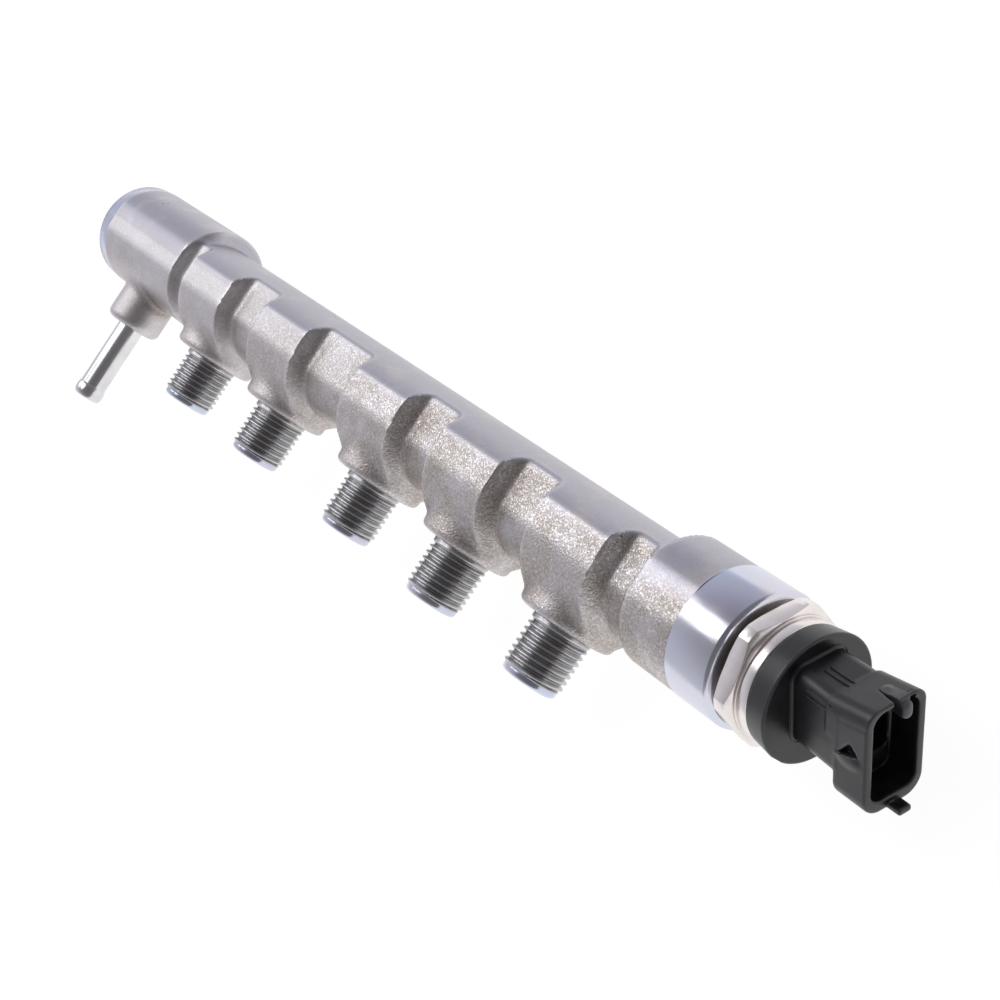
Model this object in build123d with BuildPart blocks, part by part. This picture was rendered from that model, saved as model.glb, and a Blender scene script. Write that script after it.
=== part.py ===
from build123d import *
from itertools import accumulate
from math import cos, radians, sin, sqrt, tan
import os

# Diesel common rail lying along X. The origin is the middle of the valve port's mouth,
# the five threaded ports point to -Y, and the pressure sensor closes the +X end.

# Rail forging, along X
rail_length = 273.0
first_port_x = 66.0
last_port_margin = 47.5
port_spacings = [39.0, 45.5, 37.5, 37.5]
valve_end_x = 46.5
sensor_section_length = 26.0
turned_rim_length = 5.5
turned_rim_r = 14.4
collar_length = 12.0
collar_r = 14.75
collar_chamfer_r = 1.3
collar_chamfer_x = 0.7

# Forged sections: half height at the trimmed flash, reach to the ports, reach to the back.
# Blocks and necks share one back surface, so the neck's flat runs on until it meets it.
flash_width = 4.8
flash_offset = 0.8
neck_height, neck_front = 11.3, 12.3
block_height, block_front, block_back = 15.7, 15.75, 10.9
end_height = 14.7
end_front = end_back = 14.6
block_half = 10.5
ramp_run = 4.0

# Threaded ports, M14 x 1.5, measured from the rail's axis
boss_r = 11.2
boss_edge = 1.5
boss_face_y = 17.6
thread_r = 7.0
thread_start_y = 18.4
thread_end_y = 29.8
tip_y = 31.4
tip_r = 6.1
tip_edge = 0.6
seat_mouth_r = 4.2
seat_half_angle = 30.0
port_bore_r = 1.75
cross_bore_r = 1.2
throttle_length = 5.0
throttle_seat_y = 9.0
throttle_chamfer = 0.25
orifice_r = 0.45

# Bores on the axis
main_bore_r = 5.0
valve_thread_r = 10.19
valve_thread_length = 14.0
valve_chamber_r = 8.0
valve_chamber_end = 29.0
valve_seat_r = 3.5
valve_seat_length = 3.0
mouth_chamfer = 0.8
sensor_thread_r = 8.51
sensor_thread_length = 14.0
relief_r = 9.1
relief_length = 2.0
seal_seat_r = 8.0
seal_seat_length = 1.5

# Return branch
return_x = 22.1
return_boss_r = 7.9
return_boss_y = 24.2
return_boss_edge = 2.0
return_pipe_r = 3.8
return_pipe_wall = 0.8
return_socket_depth = 8.0
return_passage_r = 1.8
bead_r = 4.2
bead_y = 46.0
bead_half = 0.9
bead_taper = 1.2
tip_taper = 0.6
return_tip_y = 48.1

# Sensor, from the rail's end face outwards
fit_gap = 0.03
sensor_gap = 1.9
hex_flats = 27.0
hex_corner_r = 14.9
hex_thickness = 3.9
hex_turn = 78.4
hex_face_step = 0.4
weld_flange_r = 13.08
weld_flange_thickness = 0.4
undercut_r = 8.0
undercut_length = 2.5
lead_in = 1.0
nose_r = 7.4
seal_edge_r = 6.5
pressure_bore_r = 1.75
spigot_r = 10.55
sleeve_r = 12.95
sleeve_length = 2.65
sleeve_wall = 0.8
sleeve_lip = 1.55
sleeve_lip_thickness = 0.7
sleeve_edge = 0.3
cell_recess_r = 5.6
cell_recess_depth = 3.4
cell_flange_r = 5.0
cell_flange_thickness = 1.0
cell_r = 4.0
cell_height = 4.5
cell_bore_r = 2.6
diaphragm = 0.5

# Connector housing
base_step = 0.1
base_length = 5.25
base_edge = 0.35
cavity_r = 8.5
cavity_roof = 1.8
seal_groove_in = 9.2
seal_groove_out = 10.4
seal_height = 0.9
connector_turn = 49.6
neck_root_side = 6.4
neck_side = 7.1
neck_top = 9.7
neck_bottom = 6.4
neck_length = 11.0
neck_edge = 2.8
shell_back_top = 10.3
shell_top = 11.4
shell_bottom = 12.0
shell_length = 8.3
shell_top_lead = 2.0
shell_edge = 4.2
side_wall = 1.6
top_wall = 0.8
bottom_wall = 2.6
socket_edge = 2.6
neck_wall = 1.6
neck_socket_depth = 6.5
guide_side = 2.35
guide_width = 3.4
guide_bottom = 7.3
guide_top = 11.6
guide_length = 6.3
guide_reach = 1.2
guide_edge = 0.8
guide_slot = 0.9
tongue_side = 0.3
tongue_width = 3.0
tongue_top = 10.9
tongue_bottom = 12.4
tongue_length = 5.0
tongue_reach = 2.8
latch_x = 3.9
latch_r = 2.65
latch_up = 0.8
latch_pocket = 1.1
latch_height = 0.6
latch_drop = 4.8
rib_start = 3.4
rib_length = 6.4
rib_width = 0.35
rib_pitch = 1.4
rib_height = 0.35
top_rib_side = -1.3
side_rib_up = 7.5

# Electronics inside the sensor
frame_ring_inner_r = 6.0
frame_ring_height = 1.6
board_r = 8.3
board_thickness = 1.0
board_hole_r = 3.4
chip_size = 3.2
chip_height = 0.8
part_gap = 0.4
capacitor_length = 1.6
capacitor_width = 0.8
capacitor_height = 0.8
terminal_pitch = 3.8
terminal_width = 1.5
terminal_thickness = 0.8
terminal_tip_gap = 6.2
terminal_foot = 2.4
terminal_tip_chamfer = 0.25
spring_width = 1.4
spring_strip = 0.25
spring_reach = 1.6
spring_fold = 0.6

# Places that follow from the sizes above; a longer or shorter rail spreads its ports
spread = (rail_length - first_port_x - last_port_margin) / sum(port_spacings)
port_x = list(accumulate([first_port_x] + [spacing * spread for spacing in port_spacings]))
sensor_end_x = rail_length - sensor_section_length
base_r = sleeve_r - base_step
hex_x = rail_length + sensor_gap
flange_x = hex_x + hex_thickness
sleeve_x = flange_x + weld_flange_thickness
housing_x = sleeve_x + sleeve_wall
base_x = sleeve_x + sleeve_length + fit_gap
front_x = base_x + base_length
shell_x = front_x + neck_length
mouth_x = shell_x + shell_length
roof_x = front_x - cavity_roof
cell_x = housing_x - cell_recess_depth
board_x = housing_x + frame_ring_height
board_top = board_x + board_thickness
foot_x = roof_x - terminal_thickness
capacitor_along = chip_size / 2 + part_gap + capacitor_width
shell_top_x = shell_x - shell_top_lead
neck_socket_x = shell_x - neck_socket_depth
socket_top = shell_top - top_wall
socket_bottom = shell_bottom - bottom_wall
socket_middle = (socket_top - socket_bottom) / 2
sleeve_bore_r = sleeve_r - sleeve_wall
lip_r = sleeve_r - sleeve_lip
lip_x = sleeve_x + sleeve_length - sleeve_lip_thickness
hex_face_r = hex_flats / 2 - hex_face_step
throttle_tip_y = throttle_seat_y + throttle_length
seat_bottom_y = tip_y - (seat_mouth_r - port_bore_r) / tan(radians(seat_half_angle))
thread_bottom_x = rail_length - sensor_thread_length
relief_x = thread_bottom_x - relief_length
seat_x = relief_x - seal_seat_length
nose_x = seat_x - (seal_seat_r - seal_edge_r) + fit_gap
main_bore_x = valve_chamber_end + (valve_chamber_r - valve_seat_r) + valve_seat_length

# Depth of a ramp between two sections: share of its run, share of its drop
ramp_shape = [(0, 0), (0.12, 0.05), (0.38, 0.68), (0.65, 0.93), (1, 1)]

flash_front = flash_offset - flash_width / 2
flash_back = flash_offset + flash_width / 2
back_depth = block_back - flash_back
back_arc_r = (back_depth ** 2 + block_height ** 2) / (2 * back_depth)
neck_flash_back = block_back - back_arc_r + sqrt(back_arc_r ** 2 - neck_height ** 2)

neck = (neck_height, neck_front, block_back, neck_flash_back)
block = (block_height, block_front, block_back, flash_back)
end = (end_height, end_front, end_back, flash_back)


def forging_section(x, height, front, back, flash_back):
    """One slice of the forging: flash flats above and below, arcs before and behind."""
    with BuildSketch(Plane.YZ.offset(x)) as section:
        with BuildLine():
            Line((flash_front, height), (flash_back, height))
            ThreePointArc((flash_back, height), (back, 0), (flash_back, -height))
            Line((flash_back, -height), (flash_front, -height))
            ThreePointArc((flash_front, -height), (-front, 0), (flash_front, height))
        make_face()
    return section.sketch


def straight(x_start, x_end, section):
    """A length of the forging with one section."""
    extrude(forging_section(x_start, *section), amount=x_end - x_start)


def ramp(x_edge, run, high, low):
    """The rounded step from a high section at x_edge down to a low one."""
    loft([forging_section(x_edge + share * run, *(h + (l - h) * drop for h, l in zip(high, low)))
          for share, drop in ramp_shape], ruled=True)


def rounded_edge(x, y, edge):
    """Points round the outer edge of a turned face that looks to -Y."""
    slant = edge * (1 - cos(radians(45)))
    return [(x, y + edge), (x - slant, y + slant), (x - edge, y)]


def connector_plane(x):
    """Across the connector: local x to its side, local y to its guide bar."""
    turn = radians(connector_turn)
    return Plane(origin=(x, 0, 0), x_dir=(0, sin(turn), -cos(turn)), z_dir=(1, 0, 0))


def left_face(x):
    """On the connector's left face: local x towards the mouth, local y up, z outwards."""
    across = connector_plane(x)
    return Plane(origin=across.from_local_coords((-neck_side, 0, 0)), x_dir=(1, 0, 0), z_dir=-across.x_dir)


def rounded_box(x, top, bottom, side, edge):
    """A rounded outline on the connector's cross plane."""
    with BuildSketch(connector_plane(x)) as outline:
        with Locations((0, (top - bottom) / 2)):
            RectangleRounded(2 * side, top + bottom, edge)
    return outline.sketch


with BuildPart() as rail_body:
    with BuildSketch(Plane.YZ):
        Circle(turned_rim_r)
    extrude(amount=turned_rim_length)
    chamfer(rail_body.faces().sort_by(Axis.X)[0].edges(), mouth_chamfer)
    straight(turned_rim_length, valve_end_x, end)
    ramp(valve_end_x, ramp_run, end, neck)
    low_x = valve_end_x + ramp_run
    for x in port_x:
        straight(low_x, x - block_half - ramp_run, neck)
        ramp(x - block_half, -ramp_run, block, neck)
        straight(x - block_half, x + block_half, block)
        ramp(x + block_half, ramp_run, block, neck)
        low_x = x + block_half + ramp_run
    straight(low_x, sensor_end_x - ramp_run, neck)
    ramp(sensor_end_x, -ramp_run, end, neck)
    straight(sensor_end_x, rail_length - collar_length, end)
    with BuildSketch(Plane.YZ.offset(rail_length - collar_length)):
        Circle(collar_r)
    extrude(amount=collar_length)
    chamfer(rail_body.faces().sort_by(Axis.X)[-1].edges(), collar_chamfer_x, collar_chamfer_r)

    # Port stubs: boss, rounded edge, face, thread and plain tip turned in one profile
    for x in port_x:
        with BuildSketch(Plane.XY):
            with BuildLine():
                Polyline((x, 0), (x + boss_r, 0), *rounded_edge(x + boss_r, -boss_face_y, boss_edge),
                         (x + thread_r, -thread_start_y), (x + thread_r, -thread_end_y),
                         (x + tip_r, thread_r - tip_r - tip_y + tip_edge),
                         (x + tip_r, tip_edge - tip_y), (x + tip_r - tip_edge, -tip_y), (x, -tip_y), (x, 0))
            make_face()
        revolve(axis=Axis((x, 0, 0), (0, 1, 0)))

    # Return boss
    with BuildSketch(Plane.XY):
        with BuildLine():
            Polyline((return_x, 0), (return_x + return_boss_r, 0),
                     *rounded_edge(return_x + return_boss_r, -return_boss_y, return_boss_edge),
                     (return_x, -return_boss_y), (return_x, 0))
        make_face()
    revolve(axis=Axis((return_x, 0, 0), (0, 1, 0)))

    # Bores on the axis, cut as one turned profile
    with BuildSketch(Plane.XY):
        with BuildLine():
            Polyline((0, 0), (0, valve_thread_r), (valve_thread_length, valve_thread_r),
                     (valve_thread_length, valve_chamber_r),
                     (valve_chamber_end, valve_chamber_r),
                     (valve_chamber_end + valve_chamber_r - valve_seat_r, valve_seat_r),
                     (main_bore_x, valve_seat_r), (main_bore_x, main_bore_r),
                     (seat_x - seal_seat_r + main_bore_r, main_bore_r), (seat_x, seal_seat_r),
                     (relief_x, seal_seat_r), (relief_x, relief_r),
                     (thread_bottom_x, relief_r), (thread_bottom_x, sensor_thread_r + fit_gap),
                     (rail_length - mouth_chamfer, sensor_thread_r + fit_gap),
                     (rail_length, sensor_thread_r + fit_gap + mouth_chamfer), (rail_length, 0), (0, 0))
        make_face()
    revolve(axis=Axis.X, mode=Mode.SUBTRACT)

    # Port bores with their cone seats
    for x in port_x:
        with BuildSketch(Plane.XY):
            with BuildLine():
                Polyline((x, 0), (x + cross_bore_r, 0), (x + cross_bore_r, -throttle_seat_y),
                         (x + port_bore_r, -throttle_seat_y), (x + port_bore_r, -seat_bottom_y),
                         (x + seat_mouth_r, -tip_y), (x, -tip_y), (x, 0))
            make_face()
        revolve(axis=Axis((x, 0, 0), (0, 1, 0)), mode=Mode.SUBTRACT)

    # Return passage and the socket that the pipe is brazed into
    with BuildSketch(Plane.XZ.offset(return_boss_y)):
        with Locations((return_x, 0)):
            Circle(return_pipe_r)
    extrude(amount=-return_socket_depth, mode=Mode.SUBTRACT)
    with BuildSketch(Plane.XZ.offset(return_boss_y)):
        with Locations((return_x, 0)):
            Circle(return_passage_r)
    extrude(amount=-return_boss_y, mode=Mode.SUBTRACT)

rail_body.part.label = "rail_body"


with BuildPart() as return_pipe:
    socket_y = return_boss_y - return_socket_depth
    bore_r = return_pipe_r - return_pipe_wall
    with BuildSketch(Plane.XY):
        with BuildLine():
            Polyline((return_x + bore_r, -return_tip_y), (return_x + bore_r, -socket_y),
                     (return_x + return_pipe_r, -socket_y),
                     (return_x + return_pipe_r, bead_taper + bead_half - bead_y),
                     (return_x + bead_r, bead_half - bead_y), (return_x + bead_r, -bead_half - bead_y),
                     (return_x + return_pipe_r - tip_taper, -return_tip_y),
                     (return_x + bore_r, -return_tip_y))
        make_face()
    revolve(axis=Axis((return_x, 0, 0), (0, 1, 0)))
return_pipe.part.label = "return_pipe"


throttles = []
for number, x in enumerate(port_x, start=1):
    with BuildPart() as throttle:
        with BuildSketch(Plane.XZ.offset(throttle_seat_y)):
            with Locations((x, 0)):
                Circle(port_bore_r)
                Circle(orifice_r, mode=Mode.SUBTRACT)
        extrude(amount=throttle_length)
        chamfer(throttle.faces().sort_by(Axis.Y)[0].edges(), throttle_chamfer)
    throttle.part.label = f"throttle_{number}"
    throttles.append(throttle)


with BuildPart() as sensor_port:
    with BuildSketch(Plane.YZ.offset(hex_x)):
        RegularPolygon(hex_flats / 2, 6, major_radius=False, rotation=hex_turn)
        Circle(hex_corner_r, mode=Mode.INTERSECT)
    extrude(amount=hex_thickness)
    with BuildSketch(Plane.XY):
        with BuildLine():
            Polyline((nose_x, pressure_bore_r), (nose_x, seal_edge_r - fit_gap),
                     (nose_x + lead_in, nose_r), (thread_bottom_x + fit_gap, nose_r),
                     (thread_bottom_x + lead_in, sensor_thread_r),
                     (hex_x - undercut_length, sensor_thread_r), (hex_x - undercut_length, undercut_r),
                     (hex_x, undercut_r), (hex_x, hex_face_r), (flange_x, hex_face_r),
                     (flange_x, weld_flange_r), (sleeve_x, weld_flange_r), (sleeve_x, spigot_r),
                     (housing_x, spigot_r), (housing_x, cell_recess_r), (cell_x, cell_recess_r),
                     (cell_x, pressure_bore_r), (nose_x, pressure_bore_r))
        make_face()
    revolve(axis=Axis.X)
    with BuildSketch(Plane.YZ.offset(nose_x)):
        Circle(pressure_bore_r)
    extrude(amount=cell_x - nose_x, mode=Mode.SUBTRACT)
    with BuildSketch(Plane.YZ.offset(cell_x)):
        Circle(cell_recess_r)
    extrude(amount=housing_x - cell_x, mode=Mode.SUBTRACT)
sensor_port.part.label = "sensor_port"


with BuildPart() as sensing_cell:
    with BuildSketch(Plane.YZ.offset(cell_x)):
        Circle(cell_flange_r)
    extrude(amount=cell_flange_thickness)
    with BuildSketch(Plane.YZ.offset(cell_x)):
        Circle(cell_r)
    extrude(amount=cell_height)
    with BuildSketch(Plane.YZ.offset(cell_x)):
        Circle(cell_bore_r)
    extrude(amount=cell_height - diaphragm, mode=Mode.SUBTRACT)
sensing_cell.part.label = "sensing_cell"


with BuildPart() as crimp_sleeve:
    with BuildSketch(Plane.XY):
        with BuildLine():
            Polyline((sleeve_x, spigot_r), (housing_x, spigot_r), (housing_x, sleeve_bore_r),
                     (lip_x, sleeve_bore_r), (lip_x, lip_r), (sleeve_x + sleeve_length, lip_r),
                     (sleeve_x + sleeve_length, sleeve_r), (sleeve_x, sleeve_r), (sleeve_x, spigot_r))
        make_face()
    revolve(axis=Axis.X)
    chamfer(crimp_sleeve.edges().filter_by(GeomType.CIRCLE).sort_by(SortBy.RADIUS)[-2:], sleeve_edge)
crimp_sleeve.part.label = "crimp_sleeve"


with BuildPart() as connector_housing:
    # Flange held by the sleeve, the waist inside its lip, and the round base
    with BuildSketch(Plane.YZ.offset(housing_x)):
        Circle(sleeve_bore_r - fit_gap)
    extrude(amount=lip_x - housing_x - fit_gap)
    with BuildSketch(Plane.YZ.offset(housing_x)):
        Circle(lip_r - fit_gap)
    extrude(amount=base_x - housing_x)
    with BuildSketch(Plane.YZ.offset(base_x)):
        Circle(base_r)
    extrude(amount=base_length)
    chamfer(connector_housing.faces().sort_by(Axis.X)[-1].edges(), base_edge)

    # Neck that widens towards the shell, the shell's step on top, then the shell around the mouth
    loft([rounded_box(front_x - base_edge, neck_top, neck_bottom, neck_root_side, neck_edge),
          rounded_box(shell_x, neck_top, neck_bottom, neck_side, neck_edge)])
    loft([rounded_box(shell_top_x, shell_back_top, 0, neck_side, neck_edge),
          rounded_box(mouth_x, shell_top, 0, neck_side, neck_edge)])
    loft([rounded_box(shell_x, shell_back_top, shell_bottom, neck_side, shell_edge),
          rounded_box(mouth_x, shell_top, shell_bottom, neck_side, shell_edge)])

    # Sockets in the shell and in the neck
    shell_socket = rounded_box(shell_x + side_wall, socket_top, socket_bottom, neck_side - side_wall,
                               socket_edge)
    extrude(shell_socket, amount=shell_length, mode=Mode.SUBTRACT)
    neck_socket = rounded_box(neck_socket_x, neck_top - neck_wall, neck_bottom - neck_wall,
                              neck_root_side - neck_wall, neck_edge - neck_wall)
    extrude(neck_socket, amount=neck_socket_depth + side_wall, mode=Mode.SUBTRACT)

    # Slot in the top wall, and beside it the guide bar that hangs into the mouth
    guide_plane = connector_plane(mouth_x + guide_reach - guide_length)
    with BuildSketch(guide_plane):
        with Locations((guide_side - (guide_width + guide_slot) / 2, guide_top)):
            Rectangle(guide_slot, 2 * (guide_top - guide_bottom))
    extrude(amount=guide_length, mode=Mode.SUBTRACT)
    with BuildSketch(guide_plane):
        with Locations((guide_side, (guide_top + guide_bottom) / 2)):
            RectangleRounded(guide_width, guide_top - guide_bottom, guide_edge)
    extrude(amount=guide_length)

    # Tongue under the mouth
    with BuildSketch(connector_plane(mouth_x + tongue_reach - tongue_length)):
        with Locations((tongue_side, -(tongue_top + tongue_bottom) / 2)):
            Rectangle(tongue_width, tongue_bottom - tongue_top)
    extrude(amount=tongue_length)

    # Latch on the left face: a round-topped pocket with a wedge that rises out of it
    with BuildSketch(left_face(shell_x + latch_x)):
        with Locations((0, latch_up)):
            Circle(latch_r)
        with Locations((0, latch_up - latch_r)):
            Rectangle(2 * latch_r, 2 * latch_r)
    extrude(amount=-latch_pocket, mode=Mode.SUBTRACT)
    with BuildSketch(connector_plane(shell_x + latch_x - latch_r)):
        with BuildLine():
            Polyline((latch_pocket - neck_side, latch_up), (-neck_side - latch_height, latch_up - latch_r),
                     (-neck_side, latch_up - latch_drop), (latch_pocket - neck_side, latch_up - latch_drop),
                     (latch_pocket - neck_side, latch_up))
        make_face()
    extrude(amount=2 * latch_r)

    # Twin ribs on the neck's top and on its left side
    top_plane = connector_plane(front_x + rib_start)
    left_plane = Plane(origin=top_plane.origin, x_dir=top_plane.y_dir, z_dir=top_plane.z_dir)
    for plane, along, reach in ((top_plane, top_rib_side, neck_top), (left_plane, side_rib_up, neck_side)):
        with BuildSketch(plane):
            with Locations(*[(along + rib_pitch * step, reach - rib_height) for step in (-0.5, 0.5)]):
                Rectangle(rib_width, 4 * rib_height)
        extrude(amount=rib_length)

    # Room for the electronics, groove for the seal, slots for the terminals
    with BuildSketch(Plane.YZ.offset(housing_x)):
        Circle(cavity_r)
    extrude(amount=roof_x - housing_x, mode=Mode.SUBTRACT)
    with BuildSketch(Plane.YZ.offset(housing_x)):
        Circle(seal_groove_out)
        Circle(seal_groove_in, mode=Mode.SUBTRACT)
    extrude(amount=seal_height, mode=Mode.SUBTRACT)
    with BuildSketch(connector_plane(roof_x)):
        with Locations(*[(0, socket_middle + terminal_pitch * step) for step in (-1, 0, 1)]):
            Rectangle(terminal_width, terminal_thickness)
    extrude(amount=neck_socket_x - roof_x, mode=Mode.SUBTRACT)
connector_housing.part.label = "connector_housing"


with BuildPart() as housing_seal:
    with BuildSketch(Plane.YZ.offset(housing_x)):
        Circle(seal_groove_out - fit_gap)
        Circle(seal_groove_in + fit_gap, mode=Mode.SUBTRACT)
    extrude(amount=seal_height)
housing_seal.part.label = "housing_seal"


with BuildPart() as board_frame:
    with BuildSketch(Plane.YZ.offset(housing_x)):
        Circle(board_r)
        Circle(frame_ring_inner_r, mode=Mode.SUBTRACT)
    extrude(amount=frame_ring_height)
board_frame.part.label = "board_frame"


with BuildPart() as sensor_board:
    with BuildSketch(connector_plane(board_x)):
        Circle(board_r)
        Circle(board_hole_r, mode=Mode.SUBTRACT)
    extrude(amount=board_thickness)
sensor_board.part.label = "sensor_board"


with BuildPart() as signal_chip:
    with BuildSketch(connector_plane(board_top)):
        with Locations((board_hole_r + part_gap + chip_size / 2, 0)):
            Rectangle(chip_size, chip_size)
    extrude(amount=chip_height)
signal_chip.part.label = "signal_chip"


capacitors = []
for number, side in enumerate((-1, 1), start=1):
    with BuildPart() as capacitor:
        with BuildSketch(connector_plane(board_top)):
            with Locations((board_hole_r + chip_size / 2, side * capacitor_along)):
                Rectangle(capacitor_length, capacitor_width)
        extrude(amount=capacitor_height)
    capacitor.part.label = f"capacitor_{number}"
    capacitors.append(capacitor)


terminals = []
springs = []
for number, step in enumerate((-1, 0, 1), start=1):
    across = socket_middle + terminal_pitch * step
    with BuildPart() as terminal:
        with BuildSketch(connector_plane(foot_x)):
            with Locations((0, across)):
                Rectangle(terminal_width, terminal_thickness)
        extrude(amount=mouth_x - terminal_tip_gap - foot_x)
        chamfer(terminal.faces().sort_by(Axis.X)[-1].edges(), terminal_tip_chamfer)
        with BuildSketch(connector_plane(foot_x)):
            with Locations((-terminal_foot / 2, across)):
                Rectangle(terminal_foot + terminal_width, spring_width)
        extrude(amount=terminal_thickness)
    terminal.part.label = f"terminal_{number}"
    terminals.append(terminal)

    # A folded strip that presses the terminal's foot and the board's pad apart
    with BuildPart() as contact_spring:
        board_plane = connector_plane(board_top)
        fold_plane = Plane(origin=board_plane.from_local_coords((-board_hole_r - part_gap, across, 0)),
                           x_dir=board_plane.x_dir, z_dir=board_plane.y_dir)
        rise = foot_x - board_top - spring_strip
        with BuildSketch(fold_plane):
            with BuildLine():
                fold = Polyline((0, -spring_strip / 2), (-spring_reach, -spring_strip / 2),
                                (spring_fold - spring_reach, -(rise + spring_strip) / 2),
                                (-spring_reach, -rise - spring_strip / 2), (0, -rise - spring_strip / 2))
            trace(fold, line_width=spring_strip)
        extrude(amount=spring_width / 2, both=True)
    contact_spring.part.label = f"contact_spring_{number}"
    springs.append(contact_spring)


os.makedirs("parts", exist_ok=True)
pieces = [rail_body, return_pipe, *throttles, sensor_port, sensing_cell, crimp_sleeve, connector_housing,
          housing_seal, board_frame, sensor_board, signal_chip, *capacitors, *terminals, *springs]
for piece in pieces:
    export_step(piece.part, f"parts/{piece.part.label}.step")
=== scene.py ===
import bpy
import bmesh
import numpy as np
from math import cos, pi, radians, sin
from mathutils import Matrix, Vector


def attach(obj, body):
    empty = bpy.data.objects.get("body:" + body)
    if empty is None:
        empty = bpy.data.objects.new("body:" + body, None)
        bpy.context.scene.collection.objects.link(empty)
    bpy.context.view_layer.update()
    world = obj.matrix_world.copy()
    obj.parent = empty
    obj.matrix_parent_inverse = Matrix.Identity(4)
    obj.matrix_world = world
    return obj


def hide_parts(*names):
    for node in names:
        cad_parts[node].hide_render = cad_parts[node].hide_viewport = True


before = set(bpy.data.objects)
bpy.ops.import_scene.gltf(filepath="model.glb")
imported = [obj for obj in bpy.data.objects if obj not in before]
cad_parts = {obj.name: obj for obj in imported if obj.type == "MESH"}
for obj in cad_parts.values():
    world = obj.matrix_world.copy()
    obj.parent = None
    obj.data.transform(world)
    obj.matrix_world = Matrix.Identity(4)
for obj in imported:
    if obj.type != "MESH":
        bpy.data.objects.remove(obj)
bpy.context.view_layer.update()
mm = 0.001
print("frame loaded")


# Shapes are worked out in millimetres, in the frame of the CAD, and stored in metres

def newPiece(name, shape, materials, smoothAngle=32):
    # shape: corners and faces, and the finish slot of each face where there are several
    verts, faces, *slots = shape
    mesh = bpy.data.meshes.new(name)
    mesh.from_pydata((np.asarray(verts, float) * mm).tolist(), [], [tuple(f) for f in faces])
    for material in materials:
        mesh.materials.append(material)
    if slots:
        mesh.polygons.foreach_set("material_index", np.asarray(slots[0], dtype=np.int32))
    piece = bpy.data.objects.new(name, mesh)
    bpy.context.scene.collection.objects.link(piece)
    finishMesh(piece, smoothAngle)
    return piece


def finishMesh(piece, smoothAngle, weld=2e-7):
    work = bmesh.new()
    work.from_mesh(piece.data)
    bmesh.ops.remove_doubles(work, verts=work.verts, dist=weld)
    bmesh.ops.dissolve_degenerate(work, edges=work.edges, dist=weld)
    bmesh.ops.recalc_face_normals(work, faces=work.faces)
    work.to_mesh(piece.data)
    work.free()
    piece.data.shade_smooth()
    piece.data.set_sharp_from_angle(angle=radians(smoothAngle))


def vertexRows(mesh, name):
    rows = np.empty(len(mesh.vertices) * 3)
    mesh.vertices.foreach_get(name, rows)
    return rows.reshape(-1, 3)


def storeMask(mesh, name, value):
    mask = mesh.attributes.new(name, "FLOAT", "POINT")
    mask.data.foreach_set("value", value.astype(np.float32))


def markWearAndCornerShade(piece, reach, soften, gain=6):
    # Per vertex: 1 on a worn outer edge, 0 on flat ground, -1 deep in a corner, where the finishes paint
    # shade
    mesh, count = piece.data, len(piece.data.vertices)
    place, facing = vertexRows(mesh, "co") / mm, vertexRows(mesh, "normal")
    pairs = np.empty(len(mesh.edges) * 2, dtype=np.int64)
    mesh.edges.foreach_get("vertices", pairs)
    pairs = pairs.reshape(-1, 2)
    span = place[pairs[:, 0]] - place[pairs[:, 1]]
    length = np.linalg.norm(span, axis=1) + 1e-6
    bend, share = np.zeros(count), np.zeros(count) + 1e-9
    for here, sign in ((0, 1), (1, -1)):
        rise = sign * (span * facing[pairs[:, here]]).sum(1) / np.maximum(length, reach)
        np.add.at(bend, pairs[:, here], rise)
        np.add.at(share, pairs[:, here], 1)
    bend /= share
    for _ in range(soften):
        total, near = bend * 2, np.full(count, 2.0)
        for here, there in ((0, 1), (1, 0)):
            np.add.at(total, pairs[:, here], bend[pairs[:, there]])
            np.add.at(near, pairs[:, here], 1)
        bend = total / near
    storeMask(mesh, "wearAndCornerShade", np.clip(bend * gain, -1, 1))


def inPlace(verts, place):
    # place: 4x4 that takes (along, across, across) into the frame
    return np.array(verts) @ np.array(place.to_3x3()).T + np.array(place.translation)


def turned(profile, place, segments):
    # profile: closed loop of (along, radius) or (along, radius, slot), where a radius of 0 is on the axis
    angles = np.linspace(0, 2 * pi, segments, endpoint=False)
    verts, rings, ringSlots = [], [], []
    for along, radius, *slot in profile:
        start = len(verts)
        ringSlots.append(slot[0] if slot else 0)
        if radius == 0:
            verts.append((along, 0, 0))
            rings.append([start] * segments)
        else:
            verts += [(along, radius * cos(a), radius * sin(a)) for a in angles]
            rings.append(list(range(start, start + segments)))
    faces, slots = [], []
    for ring, after, slot in zip(rings, rings[1:] + rings[:1], ringSlots):
        if ring[0] == ring[-1] and after[0] == after[-1]:
            continue
        for j in range(segments):
            n = (j + 1) % segments
            face = [ring[j], ring[n], after[n], after[j]]
            face = [v for i, v in enumerate(face) if v != face[i - 1]]
            faces.append(face)
            slots.append(slot)
    return inPlace(verts, place), faces, slots


def bevelEdges(piece, width, sharpAngle=25, segments=2):
    # Flat faces are made whole first, so that only real edges are rounded
    work = bmesh.new()
    work.from_mesh(piece.data)
    bmesh.ops.dissolve_limit(work, angle_limit=radians(0.5), verts=work.verts[:], edges=work.edges[:])
    sharp = [edge for edge in work.edges
             if len(edge.link_faces) == 2 and edge.calc_face_angle(0) > radians(sharpAngle)]
    bmesh.ops.bevel(work, geom=sharp, offset=width * mm, segments=segments, profile=0.5, affect="EDGES",
                    clamp_overlap=True)
    work.to_mesh(piece.data)
    work.free()


# One turn of a thread as (share of the pitch, share of the depth), how far it fades in and out, in pitches,
# and the slope down to the nose
threadForm = {"turn": ((0.0, 0), (0.06, 0.12), (0.28, 0.88), (0.36, 1), (0.48, 1), (0.56, 0.88), (0.82, 0.12),
                       (0.9, 0)),
              "fadeIn": 0.9, "fadeOut": 0.4, "chamfer": 0.9}


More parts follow.
